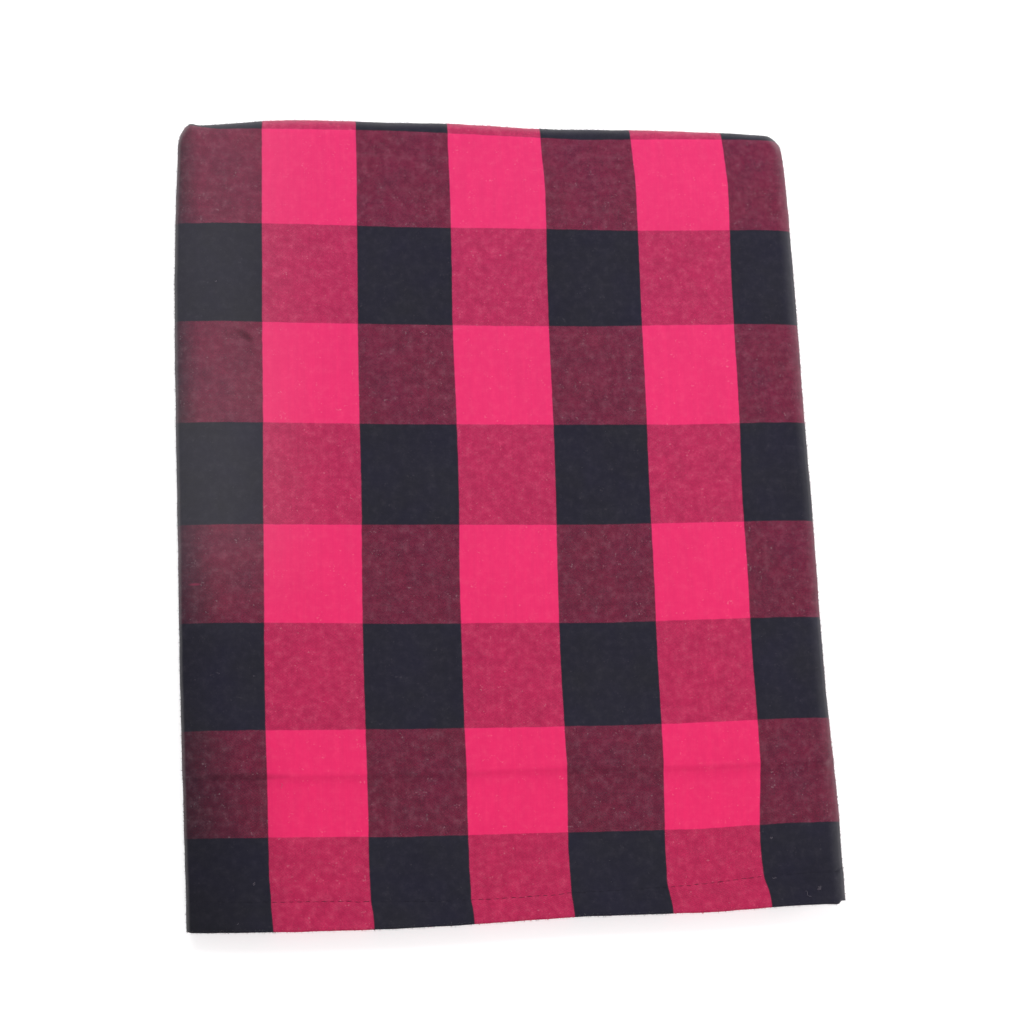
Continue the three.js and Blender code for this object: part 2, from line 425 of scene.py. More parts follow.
# The checks in metres, and how far their lines stray from true at places along the pack, in
# millimetres. A line that has moved to the right or away from the hem has a positive value. The first
# table is for the lines that run along the cloth, from the left, and the second for those across.
check_width = 0.057
check_length = 0.060
check_middle = (0.00002, -0.0089)
middle_line = 2.5
column_stray = [
    {"y": -240, "first": 3.4, "second": 2.5, "third": 2.3, "fourth": 2.8, "fifth": 3.0, "last": 4.6},
    {"y": -232, "first": 2.7, "second": 2.0, "third": 1.8, "fourth": 2.3, "fifth": 2.7, "last": 3.9},
    {"y": -225.5, "first": 2.2, "second": 0.9, "third": 0.8, "fourth": 1.4, "fifth": 1.4, "last": 2.9},
    {"y": -219.5, "first": 2.1, "second": 0.7, "third": 0.7, "fourth": 1.2, "fifth": 0.3, "last": 0.8},
    {"y": -212, "first": 1.4, "second": 0.4, "third": 0.3, "fourth": 0.9, "fifth": 0.3, "last": -0.2},
    {"y": -200, "first": 1.2, "second": 0.1, "third": 0.2, "fourth": 0.5, "fifth": 0.2, "last": -0.8},
    {"y": -180, "first": 1.0, "second": 0.4, "third": 0.0, "fourth": 0.8, "fifth": 0.7, "last": 0.0},
    {"y": -160, "first": 0.8, "second": 0.2, "third": 0.2, "fourth": 1.3, "fifth": 1.1, "last": 1.5},
    {"y": -130, "first": 0.2, "second": -0.3, "third": -0.3, "fourth": 0.6, "fifth": 1.0, "last": 1.3},
    {"y": -90, "first": 0.0, "second": -0.8, "third": -0.6, "fourth": -0.2, "fifth": 0.5, "last": 0.2},
    {"y": -40, "first": 0.2, "second": -0.5, "third": -0.8, "fourth": 0.0, "fifth": 0.4, "last": 0.1},
    {"y": 8, "first": 0.3, "second": 0.0, "third": 0.2, "fourth": 0.6, "fifth": 0.1, "last": -0.8},
    {"y": 50, "first": 0.7, "second": -0.2, "third": 0.1, "fourth": 0.7, "fifth": 0.2, "last": 0.1},
    {"y": 115, "first": 0.9, "second": -0.1, "third": -0.7, "fourth": 0.1, "fifth": 0.1, "last": -0.5},
    {"y": 150, "first": 1.3, "second": 0.3, "third": -0.2, "fourth": 0.1, "fifth": 0.2, "last": -0.4},
    {"y": 180, "first": 1.4, "second": 0.6, "third": -0.1, "fourth": 0.8, "fifth": 0.0, "last": 0.3},
    {"y": 205, "first": 1.7, "second": 1.0, "third": -0.2, "fourth": 0.6, "fifth": -0.3, "last": 0.2},
    {"y": 215, "first": 1.8, "second": 1.0, "third": -0.5, "fourth": -0.1, "fifth": -1.0, "last": -0.6},
    {"y": 230, "first": 1.9, "second": 0.9, "third": -0.6, "fourth": -0.9, "fifth": -2.1, "last": -1.9},
]
row_stray = [
    {"y": -188, "corner": 1.4, "far_left": 1.4, "left": -0.6, "right": -0.6, "outer": -0.7, "edge": 1.6},
    {"y": -128, "corner": 1.5, "far_left": 1.5, "left": 0.3, "right": 0.0, "outer": 0.8, "edge": 2.3},
    {"y": -68, "corner": 3.2, "far_left": 3.3, "left": 1.1, "right": 0.4, "outer": 1.2, "edge": 2.5},
    {"y": -8, "corner": 0.0, "far_left": 0.0, "left": -0.9, "right": -1.5, "outer": -0.7, "edge": 0.2},
    {"y": 52, "corner": 0.6, "far_left": 0.6, "left": -0.8, "right": -1.0, "outer": -0.9, "edge": 0.7},
    {"y": 112, "corner": 1.2, "far_left": 1.2, "left": -0.5, "right": -0.6, "outer": 0.8, "edge": 1.4},
    {"y": 172, "corner": 1.2, "far_left": 1.4, "left": 0.2, "right": -0.2, "outer": -0.1, "edge": 1.4},
    {"y": 232, "corner": 4.1, "far_left": 0.3, "left": 0.3, "right": -3.0, "outer": -1.6, "edge": -0.3},
]
column_places = {
    name: check_middle[0] + (number - middle_line) * check_width
    for number, name in enumerate(["first", "second", "third", "fourth", "fifth", "last"])
}
row_places = {
    "corner": -0.181, "far_left": -0.168, "left": -0.060, "right": 0.055, "outer": 0.105, "edge": 0.160
}


def stray(table, columns, x, y):
    """How far a check line has moved at each place, between the table's rows and columns."""
    at = [eased(table, "y", name, y * 1000) / 1000 for name in columns]
    spots = list(columns.values())
    moved = at[0]
    for here, there, start, stop in zip(at, at[1:], spots, spots[1:]):
        moved = moved + (there - here) * share(x, start, stop)
    return moved


top_x, top_y = middle_sheet[..., 0], middle_sheet[..., 1]
cloth_across = cloth_across - check_middle[0] - stray(column_stray, column_places, top_x, top_y)
cloth_along = cloth_along - check_middle[1] - stray(row_stray, row_places, top_x, top_y)


def sheet_mesh(name):
    """The closed sheet: its face, its back, and the edge that joins them all round."""
    rows, columns = face.shape[:2]
    number = np.arange(rows * columns).reshape(rows, columns)
    under = number + rows * columns
    corners = []
    for side, flip in ((number, False), (under, True)):
        a, b, c, d = side[:-1, :-1], side[:-1, 1:], side[1:, 1:], side[1:, :-1]
        order = (a, d, c, b) if flip else (a, b, c, d)
        corners.append(np.stack(order, axis=-1).reshape(-1, 4))
    rim = np.concatenate([number[0, :], number[1:, -1], number[-1, -2::-1], number[-2:0:-1, 0]])
    rim_next = np.roll(rim, -1)
    low = rows * columns
    corners.append(np.stack([rim, rim + low, rim_next + low, rim_next], axis=-1))
    quads = np.concatenate(corners)

    mesh = bpy.data.meshes.new(name)
    points = np.concatenate([face.reshape(-1, 3), back.reshape(-1, 3)])
    mesh.from_pydata(points.tolist(), [], quads.tolist())
    threads = np.stack([cloth_across.reshape(-1), cloth_along.reshape(-1)], axis=-1)
    threads = np.concatenate([threads, threads])
    layer = mesh.uv_layers.new(name="threads")
    corner_points = np.zeros(len(mesh.loops), dtype=np.int32)
    mesh.loops.foreach_get("vertex_index", corner_points)
    layer.data.foreach_set("uv", threads[corner_points].astype(np.float32).reshape(-1))
    mesh.polygons.foreach_set("use_smooth", np.ones(len(mesh.polygons), dtype=bool))
    mesh.update()
    return mesh


cloth = bpy.data.objects.new("folded_cloth", sheet_mesh("folded_cloth"))
bpy.context.collection.objects.link(cloth)


class Value:
    """A number, vector or colour in a node tree. Sums on numbers add their Math nodes."""

    def __init__(self, tree, socket=None):
        self.tree = tree
        self.socket = socket

    def node(self, kind, settings, sockets, output=0):
        """Adds a node: its settings first, then the value or link of each of its sockets."""
        made = self.tree.nodes.new(kind)
        for name, value in settings.items():
            setattr(made, name, value)
        for name, value in sockets.items():
            if isinstance(value, Value):
                self.tree.links.new(value.socket, made.inputs[name])
            else:
                made.inputs[name].default_value = value
        return Value(self.tree, made.outputs[output])

    def math(self, operation, *values):
        return self.node("ShaderNodeMath", {"operation": operation}, dict(enumerate(values)))

    def __add__(self, other):
        return self.math("ADD", self, other)

    def __sub__(self, other):
        return self.math("SUBTRACT", self, other)

    def __rsub__(self, other):
        return self.math("SUBTRACT", other, self)

    def __mul__(self, other):
        return self.math("MULTIPLY", self, other)

    def __truediv__(self, other):
        return self.math("DIVIDE", self, other)

    __radd__ = __add__
    __rmul__ = __mul__

    def whole(self):
        """The whole number below."""
        return self.math("FLOOR", self)

    def arch(self):
        """A round arch over each whole number's stretch."""
        return self.math("SINE", self.math("FRACT", self) * math.pi)

    def odd(self):
        """1 for an odd whole number and 0 for an even one."""
        return self.math("PINGPONG", self, 1.0)

    def no_less(self, least):
        """This number, or the least one where it is smaller."""
        return self.math("MAXIMUM", self, least)

    def between(self, low, high):
        """A soft step from 0 to 1 between two values."""
        ends = {"From Min": low, "From Max": high}
        return self.node(
            "ShaderNodeMapRange", {"interpolation_type": "SMOOTHSTEP"}, {"Value": self, **ends}
        )

    def parts(self):
        """The three parts of a vector."""
        split = self.node("ShaderNodeSeparateXYZ", {}, {0: self})
        return [Value(self.tree, socket) for socket in split.socket.node.outputs]

    def stretched(self, x, y, z=1.0):
        """A vector with each part made larger."""
        return self.node("ShaderNodeVectorMath", {"operation": "MULTIPLY"}, {0: self, 1: (x, y, z)})

    def noise(self, scale, detail=2.0, roughness=0.5):
        """Soft noise about 0 at this place, most of it within 0.25."""
        sockets = {"Vector": self, "Scale": scale, "Detail": detail, "Roughness": roughness}
        return self.node("ShaderNodeTexNoise", {}, sockets) - 0.5

    def chance(self, seed):
        """A random number from -0.5 to 0.5 for each number."""
        return self.node("ShaderNodeTexWhiteNoise", {"noise_dimensions": "1D"}, {"W": self + seed}) - 0.5

    def mixed(self, first, second):
        """This much of the way from one colour to another."""
        return self.node("ShaderNodeMix", {"data_type": "RGBA"}, {0: self, 6: first, 7: second}, 2)

    def tinted(self, colour):
        """A colour made darker or lighter by this much."""
        return self.node(
            "ShaderNodeVectorMath", {"operation": "SCALE"}, {0: colour, "Scale": self}
        )

    def spot(self, centre, length, width, turn, most):
        """A soft oval spot on top of the pack, at its most in the middle and 0 past its edge."""
        x, y, z = self.parts()
        along = (x - centre[0]) * math.cos(turn) + (y - centre[1]) * math.sin(turn)
        across = (y - centre[1]) * math.cos(turn) - (x - centre[0]) * math.sin(turn)
        along, across = along / (length / 2), across / (width / 2)
        on_top = z.between(top_from * pack_height, top_full * pack_height)
        return (1 - (along * along + across * across)).no_less(0.0) * on_top * most


top_from, top_full = 0.8, 0.9
black_dye = (0.0145, 0.0130, 0.0310, 1)
faded_black = (0.0180, 0.0175, 0.0250, 1)
pale_pink = (0.865, 0.0330, 0.170, 1)
strong_pink = (0.920, 0.0227, 0.147, 1)
pale_fibre_and_glint = (1.0, 0.86, 0.90, 1)
painted_sheen_white = (1.0, 0.97, 0.98, 1)
warp_threads_in_check = 150
weft_threads_in_check = 140
thread_wander = 1.6
thread_unevenness = 0.03

# How far the warp comes to the surface, and how deep the painted shade is on a pink thread that
# crosses black ones, painted lighter towards the far end.
warp_lead = {"bias": 1.03, "patches": 0.8, "grain": 0.2, "slubs": 0.4, "crossing": 0.1, "soft": 1.3}
shade = {"pink_warp": 0.20, "pink_weft": 0.53, "less_at_far_end": 0.12}

# The share of a check over which its colour turns, the whole length over which the painted haze of
# the far end grows, and how uneven the dye is on black threads, where either thread is pink and where both
# are.
colour_change = 0.006
painted_haze_place = {"hem": -0.26, "far": 0.26}
fine_unevenness = {"black": 0.32, "any_pink": 0.24, "all_pink": -0.50}
cloudiness = {"black": 0.45, "any_pink": -0.35}
glints_on_pale_ends = {"most": 0.050, "black": 0.25, "any_pink": 0.75, "all_pink": -0.45}
specks = {"black": 0.02, "any_pink": 0.09}

# Where the wefts crowd at the left fold, where painted haze lies on the far left and painted shade on
# the near left corner, where a painted sheen lies on the slopes of the folds, and its small marks: a
# smudge, the painted shade of a crease and one thick weft.
left_edge_x = -0.1911
crowding = {"reach": 0.0185, "nearer": 0.117, "least_reach": 0.014, "most": 0.82}
painted_haze_corner = {"reach": 0.095, "from_y": -0.085, "to_y": 0.0, "most": 0.031}
less_painted_haze = {"from_y": 0.05, "to_y": 0.12, "share": 0.25}
painted_shade_corner = {"reach": 0.075, "from_y": -0.220, "to_y": -0.100, "most": 0.24}
painted_rim_sheen = {"from": 0.20, "to": 0.75, "most": 0.080, "lengthwise": 0.36, "rightwards": 0.65}
smudge = {"centre": (-0.1517, 0.1037), "length": 0.0125, "width": 0.0060, "turn": -0.70, "most": 0.42}
painted_crease_shade = {
    "centre": (-0.1547, -0.1535), "length": 0.0560, "width": 0.0052, "turn": -0.01, "most": 0.20
}
thick_weft = {
    "centre": (-0.1814, -0.0434), "length": 0.0080, "width": 0.0018, "turn": 0.03, "most": 0.16
}


def by_colour(shares, any_pink, all_pink):
    """An amount that differs with the number of pink threads that cross at a place."""
    return shares["black"] + shares["any_pink"] * any_pink + shares["all_pink"] * all_pink


def checked_cotton():
    """The weave: black and pink threads both ways, with more of the lengthwise ones showing."""
    material = bpy.data.materials.new("checked_cotton")
    material.use_nodes = True
    tree = material.node_tree
    tree.nodes.clear()
    start = Value(tree)

    threads = start.node("ShaderNodeUVMap", {"uv_map": "threads"}, {})
    across, along, _ = threads.parts()
    place = start.node("ShaderNodeTexCoord", {}, {}, 3)
    x, y, _ = place.parts()
    far = y.between(painted_haze_place["hem"], painted_haze_place["far"])

    # Each thread has a number, and wanders a little on its way
    warp = across * (warp_threads_in_check / check_width) + threads.noise(140) * thread_wander
    weft = along * (weft_threads_in_check / check_length) + threads.noise(130) * thread_wander
    warp_number = warp.whole()
    weft_number = weft.whole()
    nearly, past = 0.5 - colour_change, 0.5 + colour_change
    warp_pink = ((warp_number + 0.5) / warp_threads_in_check + 1).odd().between(nearly, past)
    weft_pink = ((weft_number + 0.5) / weft_threads_in_check - 0.5).odd().between(nearly, past)
    any_pink = 1 - (1 - warp_pink) * (1 - weft_pink)

    # Which thread lies on top, and how much of the other one is hidden
    over = 1 - 2 * (warp_number + weft_number).odd()
    warp_arch = warp.arch()
    weft_arch = weft.arch()
    crossing = (warp_number * 0.137 + weft_number * 1.731).chance(0.0)
    patches = threads.noise(75, 2)
    grain = threads.noise(280, 3, 0.62)
    detail = threads.noise(190, 3, 0.7)
    cloud = threads.noise(22, 2)
    slubs = threads.stretched(620, 70).noise(1, 2) - threads.stretched(70, 620).noise(1, 2)
    from_left = x - left_edge_x
    reach = (crowding["reach"] - crowding["nearer"] * y).no_less(crowding["least_reach"])
    crowded = (1 - from_left / reach).no_less(0.0)
    bias = warp_lead["bias"] + patches * warp_lead["patches"] + grain * warp_lead["grain"]
    bias = bias + slubs * warp_lead["slubs"] + crossing * warp_lead["crossing"]
    lead = over * (warp_arch + weft_arch) + 0.5 * (warp_arch - weft_arch) + bias
    warp_shows = lead.between(-warp_lead["soft"], warp_lead["soft"])

    warp_height = over * weft_arch * 0.5 + warp_arch * 0.5
    weft_height = weft_arch * 0.5 - over * warp_arch * 0.5 - 0.2
    height = warp_shows * warp_height + (1 - warp_shows) * weft_height

    # A pink thread between black ones lies in their painted shade, less so towards the far end, and the
    # pink is painted hazier towards the far end and stronger towards the hem
    warp_light = 1 - shade["pink_warp"] * warp_pink * (1 - weft_pink)
    warp_light = warp_light + warp_number.chance(3.3) * thread_unevenness
    weft_shade = shade["pink_weft"] - shade["less_at_far_end"] * far
    weft_light = 1 - weft_shade * weft_pink * (1 - warp_pink)
    weft_light = weft_light + weft_number.chance(7.7) * thread_unevenness
    weft_light = weft_light * (1 - crowded * crowding["most"])
    washed = (threads.noise(28, 3, 0.6) * 1.6 + 0.5).mixed(black_dye, faded_black)
    # Painted light: the pink is painted hazier towards the far end and stronger towards the hem.
    pink = far.mixed(strong_pink, pale_pink)
    warp_colour = warp_light.tinted(warp_pink.mixed(washed, pink))
    weft_colour = weft_light.tinted(weft_pink.mixed(washed, pink))
    colour = warp_shows.mixed(weft_colour, warp_colour)
    fading = threads.stretched(260, 40).noise(1, 3)
    all_pink = warp_pink * weft_pink
    fine = by_colour(fine_unevenness, any_pink, all_pink)
    broad = cloudiness["black"] + cloudiness["any_pink"] * any_pink
    uneven = detail * fine + cloud * broad
    # Painted shade in the weave: the low parts of the threads are darker. The dye is uneven and streaked
    # too.
    light = 0.92 + 0.08 * height.between(-0.2, 0.7) + uneven + fading * 0.09
    colour = light.tinted(colour)

    # Pale fibre ends in small clusters, with painted glints on them, and lint specks
    pale = (detail * 2.4 + 0.33).no_less(0.0)
    pale = pale * pale * by_colour(glints_on_pale_ends, any_pink, all_pink) * glints_on_pale_ends["most"]
    colour = pale.mixed(colour, pale_fibre_and_glint)
    clusters = threads.noise(150, 2)
    speck = (threads.noise(800, 1) + clusters * 0.8).between(0.20, 0.42)
    speck = speck * (specks["black"] + specks["any_pink"] * any_pink)
    colour = speck.mixed(colour, pale_fibre_and_glint)
    # Painted haze of light: the far left of the pack, where its roll slopes towards the light, is painted
    # paler and greyer.
    left_haze = (1 - from_left / painted_haze_corner["reach"]).between(0.0, 0.75)
    left_haze = left_haze * y.between(painted_haze_corner["from_y"], painted_haze_corner["to_y"]) * painted_haze_corner["most"]
    left_haze = left_haze * (1 - less_painted_haze["share"] * y.between(less_painted_haze["from_y"], less_painted_haze["to_y"]))
    colour = left_haze.mixed(colour, painted_sheen_white)
    # Painted shade: the near left corner, where the cloth slopes away from the light, is painted darker.
    corner_shade = (1 - from_left / painted_shade_corner["reach"]).between(0.0, 0.8)
    corner_shade = corner_shade * (1 - y.between(painted_shade_corner["from_y"], painted_shade_corner["to_y"])) * painted_shade_corner["most"]
    colour = (1 - corner_shade).tinted(colour)
    # Painted sheen: where the surface slopes down at the folds, most on slopes facing right, it is painted
    # paler as if it caught the light.
    tilt_x, tilt_y, _ = start.node("ShaderNodeNewGeometry", {}, {}, 1).parts()
    slope = start.math("SQRT", tilt_x * tilt_x + tilt_y * tilt_y * painted_rim_sheen["lengthwise"])
    slope = slope + tilt_x.no_less(0.0) * painted_rim_sheen["rightwards"]
    rim_sheen = slope.between(painted_rim_sheen["from"], painted_rim_sheen["to"]) * painted_rim_sheen["most"]
    colour = rim_sheen.mixed(colour, painted_sheen_white)
    colour = (1 - place.spot(**smudge)).tinted(colour)
    # Painted shade on the near side of the crease, over the left part of the pack.
    colour = (1 - place.spot(**painted_crease_shade)).tinted(colour)
    colour = place.spot(**thick_weft).mixed(colour, pale_pink)

    relief_height = height + patches * 0.3 + grain * 0.8
    bump = start.node(
        "ShaderNodeBump", {}, {"Strength": 0.5, "Distance": 0.0002, "Height": relief_height}
    )
    cotton = tree.nodes.new("ShaderNodeBsdfPrincipled")
    cotton.inputs["Sheen Weight"].default_value = 0.16
    cotton.inputs["Sheen Roughness"].default_value = 0.25
    cotton.inputs["Specular IOR Level"].default_value = 0.16
    tree.links.new(colour.socket, cotton.inputs["Base Color"])
    tree.links.new((0.68 + grain * 0.2).socket, cotton.inputs["Roughness"])
    tree.links.new(bump.socket, cotton.inputs["Normal"])
    output = tree.nodes.new("ShaderNodeOutputMaterial")
    tree.links.new(cotton.outputs[0], output.inputs["Surface"])
    return material


cloth.data.materials.append(checked_cotton())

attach(cloth, body)
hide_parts("shuka_cloth")

# The hem stitches
# A lockstitch of black sewing thread holds the hem down, a finger's width from its edge. Each stitch
# dips into the cloth at both ends, and the line wanders a little.

stitch_sizes = {
    "Stitch pitch": 0.0046,
    "Stitch length": 0.0034,
    "Thread width": 0.00021,
    "Unevenness": 0.00022,
}
stitch_height = 0.00004
end_of_stitching = 0.0020
thread_shade = (0.0120, 0.0110, 0.0230, 1)
thread_light = (0.0185, 0.0165, 0.0290, 1)
whole_layer = 0.999


def nodes_tree(name, sizes):
    """An empty Geometry Nodes tree with named sizes, and its inputs by name."""
    tree = bpy.data.node_groups.new(name, "GeometryNodeTree")
    tree.interface.new_socket("Geometry", in_out="INPUT", socket_type="NodeSocketGeometry")
    for label in sizes:
        tree.interface.new_socket(label, in_out="INPUT", socket_type="NodeSocketFloat")
    tree.interface.new_socket("Finish", in_out="INPUT", socket_type="NodeSocketMaterial")
    tree.interface.new_socket("Geometry", in_out="OUTPUT", socket_type="NodeSocketGeometry")
    inputs = tree.nodes.new("NodeGroupInput").outputs
    return tree, {socket.name: Value(tree, socket) for socket in inputs if socket.name}


def ended(made, finish):
    """Ends a tree: real meshes in place of copies, smooth, with their finish."""
    real = made.node("GeometryNodeRealizeInstances", {}, {"Geometry": made})
    smooth = made.node("GeometryNodeSetShadeSmooth", {}, {"Geometry": real})
    dressed = made.node("GeometryNodeSetMaterial", {}, {"Geometry": smooth, "Material": finish})
    output = made.tree.nodes.new("NodeGroupOutput")
    made.tree.links.new(dressed.socket, output.inputs[0])


def plain_mesh(thing, tree, sizes, finish):
    """Runs a tree on an object, and leaves its result as the object's own plain mesh."""
    modifier = thing.modifiers.new(tree.name, "NODES")
    modifier.node_group = tree
    values = {**sizes, "Finish": finish}
    for item in tree.interface.items_tree:
        if item.name in values:
            modifier[item.identifier] = values[item.name]
    graph = bpy.context.evaluated_depsgraph_get()
    graph.update()
    mesh = bpy.data.meshes.new_from_object(thing.evaluated_get(graph))
    thing.modifiers.remove(modifier)
    thing.data = mesh


def stitch_tree():
    """Stitches along a line: flat ovals, each in the line's direction."""
    tree, sizes = nodes_tree("stitches", stitch_sizes)
    line = sizes["Geometry"]
    curve = line.node("GeometryNodeMeshToCurve", {}, {"Mesh": line})
    points = line.node(
        "GeometryNodeResampleCurve", {"mode": "LENGTH"}, {"Curve": curve, "Length": sizes["Stitch pitch"]}
    )
    drift = line.node(
        "FunctionNodeRandomValue", {"data_type": "FLOAT_VECTOR"}, {0: (-1, -1, 0), "Seed": 4}
    )
    drift = drift.node(
        "ShaderNodeVectorMath", {"operation": "SCALE"}, {0: drift, "Scale": sizes["Unevenness"]}
    )
    points = line.node("GeometryNodeSetPosition", {}, {"Geometry": points, "Offset": drift})
    tangent = line.node("GeometryNodeInputTangent", {}, {})
    turn = line.node("FunctionNodeAlignRotationToVector", {"axis": "X"}, {"Vector": tangent})
    stretch = line.node("FunctionNodeRandomValue", {"data_type": "FLOAT"}, {2: 0.8, 3: 1.15, "Seed": 9}, 1)
    half_width = sizes["Thread width"] * 0.5
    oval = line.node(
        "ShaderNodeCombineXYZ",
        {},
        {0: sizes["Stitch length"] * 0.5 * stretch, 1: half_width, 2: half_width},
    )
    bead = line.node("GeometryNodeMeshUVSphere", {}, {"Segments": 8, "Rings": 6, "Radius": 1.0})
    stitches = line.node(
        "GeometryNodeInstanceOnPoints",
        {},
        {"Points": points, "Instance": bead, "Rotation": turn, "Scale": oval},
    )
    ended(stitches, sizes["Finish"])
    return tree


def sewing_thread():
    """Black spun thread with its plies."""
    material = bpy.data.materials.new("black_sewing_thread")
    material.use_nodes = True
    tree = material.node_tree
    cotton = tree.nodes["Principled BSDF"]
    place = Value(tree).node("ShaderNodeTexCoord", {}, {}, 3)
    twist = place.stretched(2600, 1300).noise(1, 2)
    colour = (twist * 1.5 + 0.5).mixed(thread_shade, thread_light)
    bump = twist.node("ShaderNodeBump", {}, {"Strength": 0.4, "Distance": 0.0001, "Height": twist})
    cotton.inputs["Roughness"].default_value = 0.7
    cotton.inputs["Specular IOR Level"].default_value = 0.16
    tree.links.new(colour.socket, cotton.inputs["Base Color"])
    tree.links.new(bump.socket, cotton.inputs["Normal"])
    return material


top_ply = np.flatnonzero((line[:, 7] > whole_layer) & (line_x > end_of_stitching))
hem_rows = np.flatnonzero(way[:, 4] > whole_layer)
stitch_points = np.array([
    [np.interp(stitches_at[0, column], way[hem_rows, 0], face[hem_rows, column, axis]) for axis in range(3)]
    for column in top_ply
])
stitch_points[:, 2] += stitch_height
stitch_line_mesh = bpy.data.meshes.new("hem_stitches")
steps = [(here, here + 1) for here in range(len(stitch_points) - 1)]
stitch_line_mesh.from_pydata(stitch_points.tolist(), steps, [])
hem_stitches = bpy.data.objects.new("hem_stitches", stitch_line_mesh)
bpy.context.collection.objects.link(hem_stitches)
plain_mesh(hem_stitches, stitch_tree(), stitch_sizes, sewing_thread())
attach(hem_stitches, body)

# The loose fibres
# Spun cotton sheds short fibre ends. They stand out along the folds, the selvedges and the hem, in the
# colours of the threads that they come from.

fibre_sizes = {"Fibres in a square metre": 480000.0, "Fibre length": 0.0011, "Fibre width": 0.00020}
fibre_zone = {"outward": 0.55, "roll": 0.7, "selvedge": 0.0004, "hem": 0.0008, "above_floor": 0.003}
fibre_shares = {"left": 1.0, "right": 4.4, "roll": 0.9, "hem": 4.0, "on_top": 0.001}
inner_side_share = 0.3


def fibre_tree():
    """Short fibres on a mesh, dense where its attribute says."""
    tree, sizes = nodes_tree("fibres", fibre_sizes)
    cloth_mesh = sizes["Geometry"]
    shares = cloth_mesh.node(
        "GeometryNodeInputNamedAttribute", {"data_type": "FLOAT"}, {"Name": "fibre_share"}
    )
    spots = cloth_mesh.node(
        "GeometryNodeDistributePointsOnFaces",
        {"distribute_method": "RANDOM"},
        {"Mesh": cloth_mesh, "Density": sizes["Fibres in a square metre"] * shares, "Seed": 21},
    )
    upright = Value(tree, spots.socket.node.outputs["Rotation"])
    lean = spots.node(
        "FunctionNodeRandomValue",
        {"data_type": "FLOAT_VECTOR"},
        {0: (-0.8, -0.8, -3.1), 1: (0.8, 0.8, 3.1), "Seed": 5},
    )
    turn = spots.node(
        "FunctionNodeRotateRotation", {"rotation_space": "LOCAL"}, {"Rotation": upright, "Rotate By": lean}
    )
    size = spots.node("FunctionNodeRandomValue", {"data_type": "FLOAT"}, {2: 0.3, 3: 1.0, "Seed": 6}, 1)
    end = spots.node("ShaderNodeCombineXYZ", {}, {2: sizes["Fibre length"]})
    path = spots.node("GeometryNodeCurvePrimitiveLine", {}, {"Start": (0, 0, 0), "End": end})
    radius = sizes["Fibre width"] * 0.5
    ring = spots.node("GeometryNodeCurvePrimitiveCircle", {}, {"Resolution": 3, "Radius": radius})
    fibre = spots.node(
        "GeometryNodeCurveToMesh", {}, {"Curve": path, "Profile Curve": ring, "Fill Caps": True}
    )
    fibres = spots.node(
        "GeometryNodeInstanceOnPoints",
        {},
        {"Points": spots, "Instance": fibre, "Rotation": turn, "Scale": size},
    )
    real = spots.node("GeometryNodeRealizeInstances", {}, {"Geometry": fibres})
    spot_threads = spots.node(
        "GeometryNodeInputNamedAttribute", {"data_type": "FLOAT_VECTOR"}, {"Name": "threads"}
    )
    dyed = spots.node(
        "GeometryNodeStoreNamedAttribute",
        {"data_type": "FLOAT2", "domain": "CORNER"},
        {"Geometry": real, "Name": "threads", "Value": spot_threads},
    )
    ended(dyed, sizes["Finish"])
    return tree


left_fold = (line[:, 4] + line[:, 7] > whole_layer) & (line[:, 2] < -fibre_zone["outward"])
tight_fold = (line[:, 2] > fibre_zone["outward"] / 2) & (line_x > folded_width / 2)
selvedge_x = folded_width - lower_selvedge_inset - fibre_zone["selvedge"]
right_side = tight_fold | ((line[:, 4] > whole_layer) & (line_x > selvedge_x))
top_ply_only = (line[:, 7] > whole_layer)[None, :]
on_top = (way[:, 4] > whole_layer)[:, None] & top_ply_only
far_roll = (way[:, 2] > fibre_zone["roll"])[:, None] & top_ply_only
near_hem = ((way[:, 4] > whole_layer) & (way[:, 0] < fibre_zone["hem"]))[:, None]
fibre_share = np.zeros(face.shape[:2])
for zone, name in (
    (on_top, "on_top"),
    (left_fold[None, :], "left"),
    (right_side[None, :], "right"),
    (far_roll, "roll"),
    (near_hem, "hem"),
):
    fibre_share = np.where(zone, fibre_shares[name], fibre_share)
inner_side = np.where(right_side[None, :] | near_hem, fibre_share * inner_side_share, 0)
fibre_share = np.where(face[..., 2] > fibre_zone["above_floor"], fibre_share, 0)
inner_side = np.where(back[..., 2] > fibre_zone["above_floor"], inner_side, 0)

loose_fibres = bpy.data.objects.new("loose_fibres", cloth.data.copy())
bpy.context.collection.objects.link(loose_fibres)
shares_by_point = np.concatenate([fibre_share.reshape(-1), inner_side.reshape(-1)])
share_layer = loose_fibres.data.attributes.new("fibre_share", "FLOAT", "POINT")
share_layer.data.foreach_set("value", shares_by_point.astype(np.float32))
plain_mesh(loose_fibres, fibre_tree(), fibre_sizes, cloth.data.materials[0])
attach(loose_fibres, body)

# The lint
# Short ends of pale thread and small curls of undyed cotton fluff. They are picked up in use and cling
# to the rough top of the cloth, each with its place, its turn in degrees and its loops.

